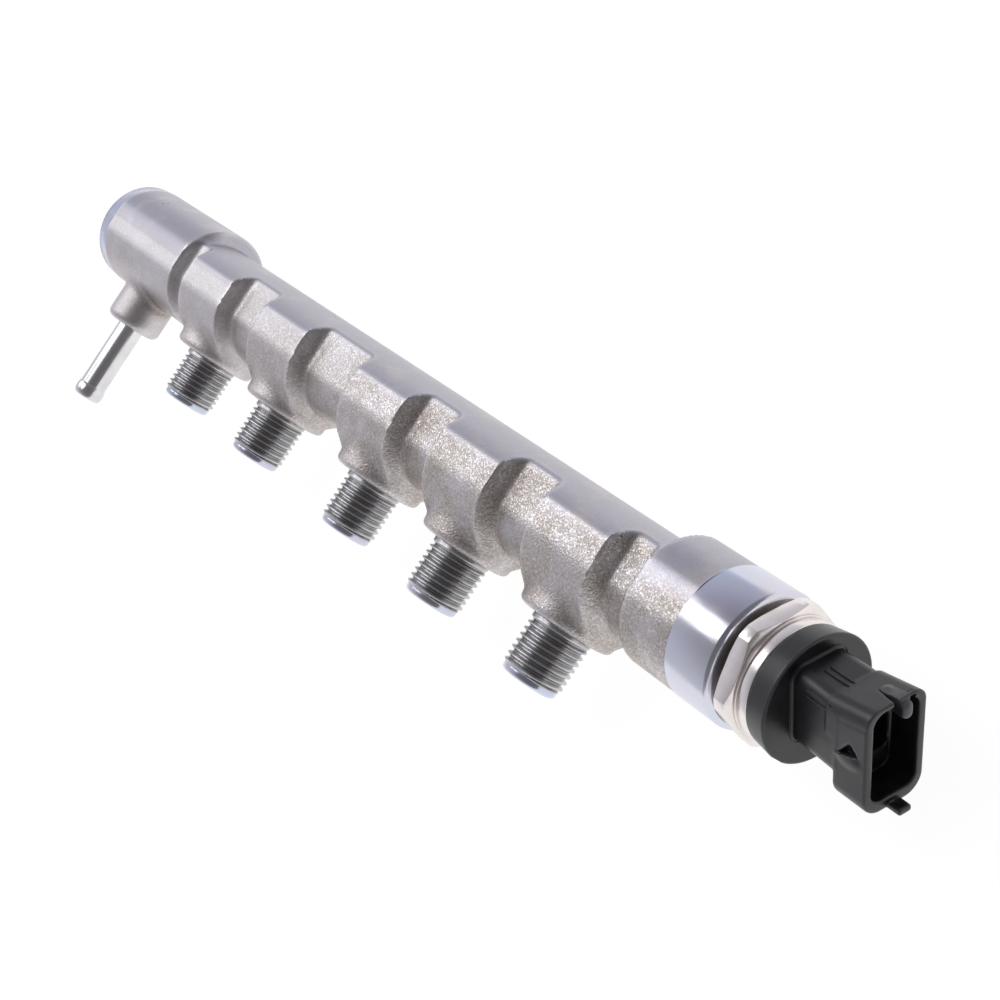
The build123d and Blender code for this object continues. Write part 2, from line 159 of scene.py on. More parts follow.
def threadRows(start, end, pitch, crest, root, nose, place, segments, slot):
    # One helical grid whose rows follow the thread, clamped flat at both ends
    profile = np.array(threadForm["turn"])
    n = len(profile)
    rows = (int((end - start) / pitch) + 3) * n + 1
    row, column = np.meshgrid(np.arange(rows), np.arange(segments), indexing="ij")
    along = start + pitch * (row // n - 1 + profile[row % n, 0] + column / segments)
    here = np.clip(along, start, end)
    phase = ((here - start) / pitch - column / segments) % 1
    depth = np.interp(phase, [*profile[:, 0], 1], [*profile[:, 1], 0])
    depth *= np.clip((here - start) / (threadForm["fadeIn"] * pitch), 0, 1)
    depth *= np.clip((end - here) / (threadForm["fadeOut"] * pitch), 0, 1)
    radius = crest - (crest - root) * depth
    radius = np.minimum(radius, nose + (end - here) * threadForm["chamfer"])
    angle = 2 * pi * column / segments
    verts = np.stack([here, radius * np.cos(angle), radius * np.sin(angle)], -1).reshape(-1, 3)
    faces = []
    for i in range(rows - 1):
        first, second = i * segments, (i + 1) * segments
        faces += [[first + j, first + j + 1, second + j + 1, second + j] for j in range(segments - 1)]
        if i + n + 1 < rows:  # the last column joins the row one turn on
            faces.append([first + segments - 1, first + n * segments,
                          second + n * segments, second + segments - 1])
    return inPlace(verts, place), faces, [slot] * len(faces)


def openLathe(profile, place, segments, slot):
    # A turned strip from the first point to the last, not joined end to end
    angles = np.linspace(0, 2 * pi, segments, endpoint=False)
    rings = [[(along, r * cos(a), r * sin(a)) for a in angles] for along, r in profile]
    verts = np.array(rings).reshape(-1, 3)
    faces = [[k * segments + j, k * segments + (j + 1) % segments,
              (k + 1) * segments + (j + 1) % segments, (k + 1) * segments + j]
             for k in range(len(profile) - 1) for j in range(segments)]
    return inPlace(verts, place), faces, [slot] * len(faces)


def joined(*parts):
    verts, faces, slots = [], [], []
    for v, f, s in parts:
        base = len(verts)
        verts += [tuple(p) for p in v]
        faces += [[i + base for i in face] for face in f]
        slots += s
    return verts, faces, slots


def boolean(piece, other, operation):
    step = piece.modifiers.new(operation, "BOOLEAN")
    step.operation = operation
    step.solver = "MANIFOLD"
    step.object = other
    shape = bpy.data.meshes.new_from_object(piece.evaluated_get(bpy.context.evaluated_depsgraph_get()))
    piece.modifiers.clear()
    old = piece.data
    piece.data = shape
    bpy.data.meshes.remove(old)
    bpy.data.objects.remove(other)


def surfaceNet(field, low, high, cell, steps=3):
    # A grid of quads laid over the zero surface of a field, then pulled onto it
    axes = [np.arange(a, b + cell, cell) for a, b in zip(low, high)]
    values = field(*np.meshgrid(*axes, indexing="ij"))
    shape = tuple(n - 1 for n in values.shape)
    total = np.zeros(shape + (3,))
    count = np.zeros(shape)
    crossings = []
    for axis in range(3):
        first, second = [slice(None)] * 3, [slice(None)] * 3
        first[axis], second[axis] = slice(0, -1), slice(1, None)
        a, b = values[tuple(first)], values[tuple(second)]
        edge = np.argwhere((a < 0) != (b < 0))
        a, b = a[tuple(edge.T)], b[tuple(edge.T)]
        point = np.stack([axes[k][edge[:, k]] for k in range(3)], -1)
        point[:, axis] += a / (a - b) * cell
        crossings.append((axis, edge, a < 0))
        others = [k for k in range(3) if k != axis]
        for stepA in (0, -1):
            for stepB in (0, -1):
                where = edge.copy()
                where[:, others[0]] += stepA
                where[:, others[1]] += stepB
                fits = np.all((where >= 0) & (where < np.array(shape)), axis=1)
                np.add.at(total, tuple(where[fits].T), point[fits])
                np.add.at(count, tuple(where[fits].T), 1)
    used = count > 0
    number = np.full(shape, -1)
    number[used] = np.arange(used.sum())
    verts = total[used] / count[used][:, None]
    faces = []
    for axis, edge, solid in crossings:
        u, v = [(1, 2), (2, 0), (0, 1)][axis]
        fits = (edge[:, u] > 0) & (edge[:, v] > 0) & (edge[:, u] < shape[u]) & (edge[:, v] < shape[v])
        edge, solid = edge[fits], solid[fits]
        corners = []
        for du, dv in ((-1, -1), (0, -1), (0, 0), (-1, 0)):
            where = edge.copy()
            where[:, u] += du
            where[:, v] += dv
            corners.append(number[tuple(where.T)])
        quad = np.stack(corners, -1)
        quad[~solid] = quad[~solid][:, ::-1]
        faces.append(quad)
    for _ in range(steps):
        verts = pulled(field, verts, cell)
    return verts, np.concatenate(faces)


def pulled(field, verts, cell):
    reach = cell * 0.05
    here = field(*verts.T)
    slope = np.stack([(field(*(verts + offset).T) - field(*(verts - offset).T)) / (2 * reach)
                      for offset in np.eye(3) * reach], -1)
    length = np.maximum((slope ** 2).sum(1), 0.05)  # so that a flat spot in the field throws nothing far
    return verts - slope * np.clip(here / length, -cell * 0.5, cell * 0.5)[:, None]


def blendMin(a, b, size):
    overlap = np.maximum(size - np.abs(a - b), 0) / size
    return np.minimum(a, b) - overlap ** 2 * size / 4


def blendMax(a, b, size):
    return -blendMin(-a, -b, size)


def roundedRod(along, radius, end, r, edge):
    # Distance to a rod of one radius that ends with a rounded edge
    q, w = radius - (r - edge), along - (end - edge)
    return np.hypot(np.maximum(q, 0), np.maximum(w, 0)) + np.minimum(np.maximum(q, w), 0) - edge


def roundedRectangle(s, u, halfSide, top, bottom, edge):
    q = np.abs(s) - (halfSide - edge)
    w = np.abs(u - (top - bottom) / 2) - ((top + bottom) / 2 - edge)
    return np.hypot(np.maximum(q, 0), np.maximum(w, 0)) + np.minimum(np.maximum(q, w), 0) - edge


alongX = Matrix.Identity(4)


def alongPort(x):
    # along is -Y, the two across are X and Z
    return Matrix(((0, 1, 0, x), (-1, 0, 0, 0), (0, 0, 1, 0), (0, 0, 0, 1)))


# Node groups that several finishes share

def group(name, inputs, outputs):
    tree = bpy.data.node_groups.new(name, "ShaderNodeTree")
    for label, kind, value in inputs:
        socket = tree.interface.new_socket(label, in_out="INPUT", socket_type=kind)
        socket.default_value = value
    for label, kind in outputs:
        tree.interface.new_socket(label, in_out="OUTPUT", socket_type=kind)
    return tree, tree.nodes.new("NodeGroupInput"), tree.nodes.new("NodeGroupOutput")


def add(tree, kind, **values):
    node = tree.nodes.new(kind)
    for label, value in values.items():
        if hasattr(node, label):
            setattr(node, label, value)
        else:
            node.inputs[label.replace("_", " ")].default_value = value
    return node


def ramp(tree, stops, source):
    node = tree.nodes.new("ShaderNodeValToRGB")
    while len(node.color_ramp.elements) < len(stops):
        node.color_ramp.elements.new(0.5)
    for element, (place, value) in zip(node.color_ramp.elements, stops):
        element.position = place
        element.color = (value, value, value, 1) if np.isscalar(value) else (*value, 1)
    tree.links.new(source, node.inputs[0])
    return node.outputs[0]


def maths(tree, operation, a, b, c=0.5, clamp=False):
    node = tree.nodes.new("ShaderNodeMath")
    node.operation = operation
    node.use_clamp = clamp
    for socket, value in zip(node.inputs, (a, b, c)):
        if isinstance(value, (int, float)):
            socket.default_value = value
        else:
            tree.links.new(value, socket)
    return node.outputs[0]


def mixed(tree, share, a, b):
    node = tree.nodes.new("ShaderNodeMix")
    node.data_type = "RGBA"
    for socket, value in ((node.inputs[0], share), (node.inputs[6], a), (node.inputs[7], b)):
        if isinstance(value, (int, float)):
            socket.default_value = value
        elif isinstance(value, tuple):
            socket.default_value = (*value, 1)
        else:
            tree.links.new(value, socket)
    return node.outputs[2]


def times(tree, a, b):
    return maths(tree, "MULTIPLY", a, b)


def timesPlusHalf(tree, value, gain, clamp=False):
    return maths(tree, "MULTIPLY_ADD", value, gain, 0.5, clamp)


def grainGroup():
    # Blasted or moulded grain: a fine height, and a mask of the facets that catch the light
    tree, inside, out = group("surface grain",
                              [("Size", "NodeSocketFloat", 0.4), ("Sparkle", "NodeSocketFloat", 0.5)],
                              [("Height", "NodeSocketFloat"), ("Facets", "NodeSocketFloat")])
    place = add(tree, "ShaderNodeTexCoord")
    scale = maths(tree, "DIVIDE", 1000.0, inside.outputs["Size"])
    pits = add(tree, "ShaderNodeTexVoronoi", feature="SMOOTH_F1", Smoothness=0.6)
    noise = add(tree, "ShaderNodeTexNoise", Detail=4.0, Roughness=0.62)
    for node in (pits, noise):  # both run at the grain's own size
        tree.links.new(place.outputs["Object"], node.inputs["Vector"])
        tree.links.new(scale, node.inputs["Scale"])
    dimples = times(tree, pits.outputs["Distance"], 0.6)
    height = maths(tree, "ADD", dimples, noise.outputs["Fac"])
    chips = add(tree, "ShaderNodeTexVoronoi", feature="F1")
    tree.links.new(place.outputs["Object"], chips.inputs["Vector"])
    tree.links.new(times(tree, scale, 1.6), chips.inputs["Scale"])
    bright = add(tree, "ShaderNodeSeparateColor")
    tree.links.new(chips.outputs["Color"], bright.inputs[0])
    facets = ramp(tree, [(0.0, 0.0), (0.55, 0.0), (1.0, 1.0)], bright.outputs[0])
    tree.links.new(height, out.inputs["Height"])
    tree.links.new(times(tree, facets, inside.outputs["Sparkle"]), out.inputs["Facets"])
    return tree


def cloudGroup():
    # Slow change over the surface, for stains and uneven plating
    tree, inside, out = group("surface clouds",
                              [("Size", "NodeSocketFloat", 12.0), ("Bias", "NodeSocketFloat", 0.5)],
                              [("Mask", "NodeSocketFloat")])
    place = add(tree, "ShaderNodeTexCoord")
    noise = add(tree, "ShaderNodeTexNoise", Detail=5.0, Roughness=0.55)
    tree.links.new(place.outputs["Object"], noise.inputs["Vector"])
    tree.links.new(maths(tree, "DIVIDE", 1000.0, inside.outputs["Size"]), noise.inputs["Scale"])
    low = maths(tree, "SUBTRACT", noise.outputs["Fac"], inside.outputs["Bias"])
    tree.links.new(timesPlusHalf(tree, low, 4.0, True), out.inputs["Mask"])
    return tree


def turningGroup():
    # Fine tool marks round an axis along X
    tree, inside, out = group("turning marks", [("Pitch", "NodeSocketFloat", 0.12)],
                              [("Height", "NodeSocketFloat")])
    place = add(tree, "ShaderNodeTexCoord")
    parts = add(tree, "ShaderNodeSeparateXYZ")
    tree.links.new(place.outputs["Object"], parts.inputs[0])
    turnRate = maths(tree, "DIVIDE", 6283.0, inside.outputs["Pitch"])  # radians in a metre at a pitch of 1
    turns = times(tree, parts.outputs[0], turnRate)
    tree.links.new(maths(tree, "SINE", turns, 0.0), out.inputs["Height"])
    return tree


grain, clouds, turning = grainGroup(), cloudGroup(), turningGroup()


def placed(tree, source, **values):
    node = tree.nodes.new("ShaderNodeGroup")
    node.node_tree = source
    for label, value in values.items():
        node.inputs[label].default_value = value
    return node


def finish(name, metallic, **values):
    material = bpy.data.materials.new(name)
    material.use_nodes = True
    tree = material.node_tree
    shader = tree.nodes["Principled BSDF"]
    shader.inputs["Metallic"].default_value = metallic
    for label, value in values.items():
        shader.inputs[label.replace("_", " ")].default_value = value
    return material, tree, shader


def wired(tree, shader, colour, rough, height, depth):
    bump = add(tree, "ShaderNodeBump", Strength=1.0, Distance=depth * mm)
    tree.links.new(height, bump.inputs["Height"])
    for source, label in ((colour, "Base Color"), (rough, "Roughness"), (bump.outputs[0], "Normal")):
        tree.links.new(source, shader.inputs[label])


def cloud(tree, size, bias):
    return placed(tree, clouds, Size=size, Bias=bias).outputs["Mask"]


def zoneMask(tree, name):
    return add(tree, "ShaderNodeAttribute", attribute_name=name).outputs["Fac"]


def wornEdges(tree):
    return maths(tree, "MAXIMUM", zoneMask(tree, "wearAndCornerShade"), 0.0)


def cornerShade(tree):
    # Painted shade in concave corners, from the negative side of the mask
    return maths(tree, "MAXIMUM", times(tree, zoneMask(tree, "wearAndCornerShade"), -1.0), 0.0)


# The dark brown colours both the freckles and the painted shade in the recesses
forgedSteel = {"base": (0.68, 0.645, 0.67), "stain": (0.60, 0.545, 0.515), "stainSize": 10.0,
               "cool": (0.48, 0.465, 0.52), "smearSize": 9.0, "smoothed": 0.85,
               "pressed": (0.80, 0.785, 0.80), "glintAndWornEdge": (0.98, 0.965, 0.975), "sparkle": 0.9,
               "freckleAndShade": (0.20, 0.155, 0.11), "speckleSize": 0.6, "freckles": 0.38,
               "pit": (0.06, 0.05, 0.045), "pitSpacing": 11.0, "pitSize": 0.45, "pitShare": 0.7,
               "edgeShare": 0.45, "roughness": (0.26, 0.47), "grain": 0.45, "grainDepth": 0.125}


def forgedFinish(s):
    material, tree, shader = finish("forged zinc plate", 1.0)
    drawn, flat, hollow, coarse = [zoneMask(tree, zone) for zone in ("drawn", "flat", "recess", "coarse")]
    grains = placed(tree, grain, Size=s["grain"], Sparkle=s["sparkle"])
    patches = cloud(tree, s["stainSize"], 0.44)
    smear = cloud(tree, s["smearSize"], 0.33)
    speckle = cloud(tree, s["speckleSize"], 0.45)

    # The plate: stained where it is coarse, a painted highlight on the pressed flats, cooler on the drawn
    # back
    colour = mixed(tree, times(tree, patches, coarse), s["base"], s["stain"])
    # pressed: painted highlight on the flats, weaker where the grain is coarse
    pressed = times(tree, flat, maths(tree, "SUBTRACT", 1.05, coarse))
    colour = mixed(tree, pressed, colour, s["pressed"])
    colour = mixed(tree, times(tree, drawn, smear), colour, s["cool"])

    # Painted glints on the grains that catch the light, then dark freckles, then painted shade in the
    # recesses
    rougher = maths(tree, "SUBTRACT", 1.0, times(tree, drawn, s["smoothed"]))
    rougher = times(tree, rougher, coarse)
    facets = times(tree, grains.outputs["Facets"], rougher)
    # glint: painted glints on the grain facets, stronger on the flats; the same near white also marks the
    # worn edges
    glint = times(tree, facets, timesPlusHalf(tree, flat, 0.5, True))
    colour = mixed(tree, glint, colour, s["glintAndWornEdge"])
    freckle = times(tree, speckle, timesPlusHalf(tree, patches, 0.7))
    freckle = times(tree, freckle, rougher)
    colour = mixed(tree, times(tree, freckle, s["freckles"]), colour, s["freckleAndShade"])
    # Painted shade in the recesses, broken up by the speckle, in the same dark brown as the freckles
    recessShade = times(tree, hollow, timesPlusHalf(tree, speckle, 0.5))
    colour = mixed(tree, recessShade, colour, s["freckleAndShade"])

    # A few small pits, and bright worn edges
    place = add(tree, "ShaderNodeTexCoord")
    spots = add(tree, "ShaderNodeTexVoronoi", feature="F1", Scale=1000 / s["pitSpacing"])
    tree.links.new(place.outputs["Object"], spots.inputs["Vector"])
    reach = s["pitSize"] / s["pitSpacing"]
    pits = ramp(tree, [(0.0, 1.0), (reach * 0.5, 1.0), (reach, 0.0)], spots.outputs["Distance"])
    colour = mixed(tree, times(tree, pits, s["pitShare"]), colour, s["pit"])
    colour = mixed(tree, times(tree, wornEdges(tree), s["edgeShare"]), colour, s["glintAndWornEdge"])

    rough = ramp(tree, [(0.0, s["roughness"][1]), (1.0, s["roughness"][0])], facets)
    rough = maths(tree, "SUBTRACT", rough, times(tree, drawn, 0.1))
    rough = maths(tree, "ADD", rough, times(tree, recessShade, 0.25))
    height = times(tree, grains.outputs["Height"], rougher)
    smoother = maths(tree, "SUBTRACT", 1.0, times(tree, flat, 0.3))
    height = maths(tree, "SUBTRACT", times(tree, height, smoother), pits)
    wired(tree, shader, colour, rough, height, s["grainDepth"])
    return material


machinedSteel = {"base": (0.56, 0.625, 0.78), "tint": (0.62, 0.57, 0.73), "tintSize": 16.0,
                 "straw": (0.68, 0.63, 0.60), "strawSize": 7.0, "edge": (0.8, 0.8, 0.82),
                 "roughness": 0.17, "marks": 0.0015, "pitch": 0.16}


def machinedFinish(s):
    material, tree, shader = finish("machined zinc plate", 1.0)
    film = cloud(tree, s["strawSize"], 0.6)
    colour = mixed(tree, cloud(tree, s["tintSize"], 0.55), s["base"], s["tint"])
    colour = mixed(tree, times(tree, film, 0.5), colour, s["straw"])
    colour = mixed(tree, times(tree, wornEdges(tree), 0.5), colour, s["edge"])
    rough = ramp(tree, [(0.0, s["roughness"]), (1.0, s["roughness"] + 0.1)], film)
    marks = placed(tree, turning, Pitch=s["pitch"])
    wired(tree, shader, colour, rough, marks.outputs[0], s["marks"])
    return material


cutThread = {"base": (0.50, 0.50, 0.52), "tint": (0.42, 0.41, 0.41), "crest": (0.82, 0.81, 0.82),
             "root": (0.12, 0.11, 0.11), "roughness": (0.27, 0.38), "grain": 0.2, "grainDepth": 0.006}


def threadFinish(s):
    material, tree, shader = finish("cut thread", 1.0)
    edges = wornEdges(tree)
    colour = mixed(tree, cloud(tree, 3.0, 0.5), s["base"], s["tint"])
    colour = mixed(tree, edges, colour, s["crest"])
    # The root colour is painted shade in the thread roots
    colour = mixed(tree, times(tree, cornerShade(tree), 0.85), colour, s["root"])
    rough = ramp(tree, [(0.0, s["roughness"][0]), (1.0, s["roughness"][1])], edges)
    grains = placed(tree, grain, Size=s["grain"], Sparkle=0.3)
    wired(tree, shader, colour, rough, grains.outputs["Height"], s["grainDepth"])
    return material


drilledBore = {"base": (0.42, 0.4, 0.4), "tint": (0.3, 0.28, 0.27), "roughness": (0.35, 0.5), "grain": 0.3,
               "grainDepth": 0.006}


def boreFinish(s):
    material, tree, shader = finish("drilled bore", 1.0)
    patches = cloud(tree, 4.0, 0.5)
    colour = mixed(tree, patches, s["base"], s["tint"])
    rough = ramp(tree, [(0.0, s["roughness"][0]), (1.0, s["roughness"][1])], patches)
    marks = placed(tree, grain, Size=s["grain"], Sparkle=0.2)
    wired(tree, shader, colour, rough, marks.outputs["Height"], s["grainDepth"])
    return material


# The edge colour is for worn edges, the corner colour is painted shade in the corners
brightWearAndShade = {"edge": (0.9, 0.89, 0.87), "corner": (0.4, 0.37, 0.34)}


def brightFinish(name, base, tint, roughness, depth):
    material, tree, shader = finish(name, 1.0)
    patches = cloud(tree, 6.0, 0.5)
    colour = mixed(tree, patches, base, tint)
    colour = mixed(tree, times(tree, wornEdges(tree), 0.6), colour, brightWearAndShade["edge"])
    # Painted shade in the corners
    colour = mixed(tree, times(tree, cornerShade(tree), 0.35), colour, brightWearAndShade["corner"])
    rough = ramp(tree, [(0.0, roughness), (1.0, roughness + 0.08)], patches)
    grains = placed(tree, grain, Size=0.12, Sparkle=0.2)
    wired(tree, shader, colour, rough, grains.outputs["Height"], depth)
    return material


scuffColour = (0.2, 0.195, 0.2)


def plasticFinish(name, base, dust, roughness, grainSize, depth):
    material, tree, shader = finish(name, 0.0)
    patches = cloud(tree, 7.0, 0.55)
    grains = placed(tree, grain, Size=grainSize, Sparkle=0.6)
    colour = mixed(tree, times(tree, patches, 0.35), base, dust)
    colour = mixed(tree, times(tree, wornEdges(tree), 0.5), colour, tuple(min(1, 4 * c) for c in dust))
    broken = timesPlusHalf(tree, grains.outputs["Facets"], 0.45)
    scuffed = times(tree, zoneMask(tree, "scuff"), broken)
    colour = mixed(tree, scuffed, colour, scuffColour)
    rough = ramp(tree, [(0.0, roughness), (1.0, roughness + 0.12)], patches)
    wired(tree, shader, colour, rough, grains.outputs["Height"], depth)
    return material


forged = forgedFinish(forgedSteel)
machined = machinedFinish(machinedSteel)
thread = threadFinish(cutThread)
bore = boreFinish(drilledBore)
nickel = brightFinish("nickel plate", (0.88, 0.82, 0.80), (0.80, 0.74, 0.72), 0.2, 0.0006)
drawn = brightFinish("drawn tube", (0.76, 0.75, 0.78), (0.68, 0.665, 0.67), 0.2, 0.0008)
stainless = brightFinish("turned stainless", (0.6, 0.6, 0.6), (0.52, 0.51, 0.5), 0.3, 0.004)
tinned = brightFinish("tinned contact", (0.74, 0.7, 0.62), (0.66, 0.6, 0.5), 0.28, 0.003)
blackPlastic = plasticFinish("moulded black plastic", (0.012, 0.012, 0.015), (0.04, 0.038, 0.042), 0.29, 0.12,
                             0.012)
sealRubber = plasticFinish("seal rubber", (0.02, 0.02, 0.02), (0.04, 0.04, 0.04), 0.6, 0.5, 0.01)
solderMask = plasticFinish("solder mask", (0.02, 0.12, 0.06), (0.03, 0.16, 0.08), 0.35, 0.6, 0.004)
chipPlastic = plasticFinish("chip moulding", (0.02, 0.02, 0.022), (0.05, 0.05, 0.05), 0.5, 0.3, 0.006)
firedClay = plasticFinish("fired ceramic", (0.35, 0.25, 0.16), (0.42, 0.31, 0.21), 0.4, 0.3, 0.004)
blackPlastic.node_tree.nodes["Principled BSDF"].inputs["Specular IOR Level"].default_value = 0.55
print("finishes made")


# The forging: sections along X, then bosses blended into them

rail = {"length": 273.0, "ports": (66.0, 105.0, 150.5, 188.0, 225.5), "rimEnd": 5.5, "collarStart": 261.0,
        "farBodyEnd": 46.5, "nearBodyStart": 247.0, "endRamp": 4.0, "cell": 0.7,
        "low": (2, -27, -17.5), "high": (266, 16.5, 17.5)}

# Each section: half height, reach to the ports, reach to the back, height of the back arc
neck = (11.3, 12.3, 10.9, 15.7)
block = (15.7, 15.75, 10.9, 15.7)
fatEnd = (14.7, 14.6, 14.6, 14.7)

# Where a section's two arcs meet its height, the rounding there, and how much is pressed off the flats
arcs = {"frontY": -1.6, "backY": 3.2, "frontEdge": 0.2, "backEdge": 0.7, "pressed": 0.3}
boss = {"r": 11.2, "face": 17.6, "edge": 1.5, "blend": 2.4, "half": 10.5, "ramp": 4.0}
bossFoot = {"r": 6.5, "face": 18.6, "edge": 0.2, "blend": 1.6}
returnBoss = {"x": 22.1, "r": 7.9, "face": 24.2, "edge": 2.0, "blend": 2.2}


def easedDrop(u):
    v = np.clip(u, 0, 1)
    return 1 - (1 - v * v / (v + 0.1) * 1.1) ** 3


def sectionAt(x):
    # Share of each section at x: 0 is the neck
    blocks = np.zeros_like(x)
    for port in rail["ports"]:
        blocks = np.maximum(blocks, 1 - easedDrop((np.abs(x - port) - boss["half"]) / boss["ramp"]))
    ends = 1 - easedDrop((x - rail["farBodyEnd"]) / rail["endRamp"])
    ends = np.maximum(ends, 1 - easedDrop((rail["nearBodyStart"] - x) / rail["endRamp"]))
    return [n + (b - n) * blocks + (e - n) * ends for n, b, e in zip(neck, block, fatEnd)]


def arcRadius(rise, halfChord):
    return (rise ** 2 + halfChord ** 2) / (2 * rise)


def rearArcAt(x, y, z):
    back, backHeight = sectionAt(x)[2:]
    backR = arcRadius(back - arcs["backY"], backHeight)
    return np.hypot(y - (back - backR), z) - backR


def stud(x, y, z, middle, s):
    return np.maximum(roundedRod(-y, np.hypot(x - middle, z), s["face"], s["r"], s["edge"]), y)


def forgingField(x, y, z):
    height, front = sectionAt(x)[:2]
    frontR = arcRadius(front + arcs["frontY"], height)
    foreArc = np.hypot(np.minimum(y - (frontR - front), 0), z) - frontR
    flats = np.abs(z) - height + arcs["pressed"]
    solid = blendMax(blendMax(flats, rearArcAt(x, y, z), arcs["backEdge"]), foreArc, arcs["frontEdge"])
    for port in rail["ports"]:
        bossShape = blendMin(stud(x, y, z, port, boss), stud(x, y, z, port, bossFoot), bossFoot["blend"])
        solid = blendMin(solid, bossShape, boss["blend"])
    return blendMin(solid, stud(x, y, z, returnBoss["x"], returnBoss), returnBoss["blend"])


railFinishes = {"forged": forged, "machined": machined, "thread": thread, "bore": bore}
slots = {name: place for place, name in enumerate(railFinishes)}
steel = tuple(railFinishes.values())
railShape = surfaceNet(forgingField, rail["low"], rail["high"], rail["cell"])
railBody = newPiece("rail_forging", railShape, steel, 60)
print("forging meshed", len(railBody.data.polygons))


def closeEnds(piece, low, high):
    work = bmesh.new()
    work.from_mesh(piece.data)
    for x, inward in ((low, 1), (high, -1)):
        bmesh.ops.bisect_plane(work, geom=work.verts[:] + work.edges[:] + work.faces[:],
                               plane_co=(x * mm, 0, 0), plane_no=(-inward, 0, 0), clear_outer=True)
        cut = [edge for edge in work.edges
               if edge.is_boundary and abs(sum(v.co.x for v in edge.verts) / 2 - x * mm) < 1e-6]
        bmesh.ops.edgeloop_fill(work, edges=cut)
    bmesh.ops.recalc_face_normals(work, faces=work.faces)
    work.to_mesh(piece.data)
    work.free()


closeEnds(railBody, rail["rimEnd"], rail["collarStart"])

stub = {"inner": 8, "innerR": 5.6, "shoulder": 16.8, "threadStart": 18.4, "threadEnd": 29.9, "tip": 31.4,
        "tipR": 6.35, "crest": 7.0, "root": 6.12, "pitch": 1.5, "segments": 72}
tipRounding = ((0.75, 0), (0.45, 0.1), (0.18, 0.34), (0.03, 0.65), (0, 0.95))  # back from the tip, inward


def stubShape(x):
    place, s = alongPort(x), stub
    foot = openLathe([(s["inner"], 0), (s["inner"], s["innerR"]), (s["shoulder"], s["innerR"]),
                      (s["shoulder"], s["crest"]), (s["threadStart"], s["crest"])],
                     place, s["segments"], slots["thread"])
    screw = threadRows(s["threadStart"], s["threadEnd"], s["pitch"], s["crest"], s["root"], s["tipR"],
                       place, s["segments"], slots["thread"])
    nose = openLathe([(s["threadEnd"], s["tipR"]),
                      *[(s["tip"] - back, s["tipR"] - inward) for back, inward in tipRounding],
                      (s["tip"], 0)], place, s["segments"], slots["machined"])
    return joined(foot, screw, nose)


def inSlot(profile, slot):
    return [(along, radius, slots[slot]) for along, radius in profile]


turnedEnds = {"collarR": 14.75, "rimR": 14.4, "coreR": 13, "coreLength": 14, "collarCore": 250,
              "segments": 128}


def collarShape(s):
    turning = inSlot([(s["collarCore"], 0), (s["collarCore"], s["coreR"]), (rail["collarStart"], s["coreR"]),
                      (rail["collarStart"], s["collarR"]), (rail["length"] - 1, s["collarR"]),
                      (rail["length"] - 0.65, s["collarR"] - 0.15)], "machined")
    # The end face takes the darker bore finish as painted shade in the narrow gap before the hexagon
    face = inSlot([(rail["length"], 13.45)], "bore") + inSlot([(rail["length"], 0)], "machined")
    return turned(turning + face, alongX, s["segments"])


def rimShape(s):
    turning = [(0, 0), (0, 13.6), (0.25, 14.1), (0.8, s["rimR"]), (rail["rimEnd"], s["rimR"]),
               (rail["rimEnd"], s["coreR"]), (s["coreLength"], s["coreR"]), (s["coreLength"], 0)]
    return turned(inSlot(turning, "machined"), alongX, s["segments"])


for shape in [collarShape(turnedEnds), rimShape(turnedEnds)] + [stubShape(x) for x in rail["ports"]]:
    boolean(railBody, newPiece("addition", shape, steel), "UNION")
print("stubs and turned ends joined", len(railBody.data.polygons))

# The valve port with its chamber and seat, the gallery, then the sensor's seat, relief groove and thread
valvePort = [(-1, 0), (-1, 11.0), (0, 11.0), (0.85, 10.19), (14, 10.19), (14, 8), (29, 8), (33.5, 3.5),
             (36.5, 3.5)]
gallery = [(36.5, 5), (252.5, 5)]
sensorBore = [(255.5, 8), (257, 8), (257, 9.1), (259, 9.1), (259, 8.54), (272.2, 8.54), (274, 10.3), (274, 0)]
drill = turned(inSlot(valvePort + gallery + sensorBore, "bore"), alongX, 96)
boolean(railBody, newPiece("drill", drill, steel), "DIFFERENCE")


def portDrill(x):
    crossBore = inSlot([(2, 0), (2, 1.2), (9, 1.2), (9, 1.75)], "bore")
    cone = inSlot([(27.16, 1.75), (31.4, 4.2), (32, 4.55), (32, 0)], "machined")
    return turned(crossBore + cone, alongPort(x), 48)


returnDrill = turned(inSlot([(2, 0), (2, 1.8), (16.2, 1.8), (16.2, 3.8), (23.95, 3.8), (24.3, 4.1), (25, 4.1),
                             (25, 0)], "bore"), alongPort(returnBoss["x"]), 64)
for shape in [returnDrill] + [portDrill(x) for x in rail["ports"]]:
    boolean(railBody, newPiece("hole", shape, steel), "DIFFERENCE")
finishMesh(railBody, 40)
markWearAndCornerShade(railBody, 0.4, 2)


# How far out a wall counts as near, and where the fine grain of the valve end turns coarse
zoning = {"depths": (1.3, 2.6, 4.5), "fineTo": 50, "coarseOver": 120, "fine": 0.4}


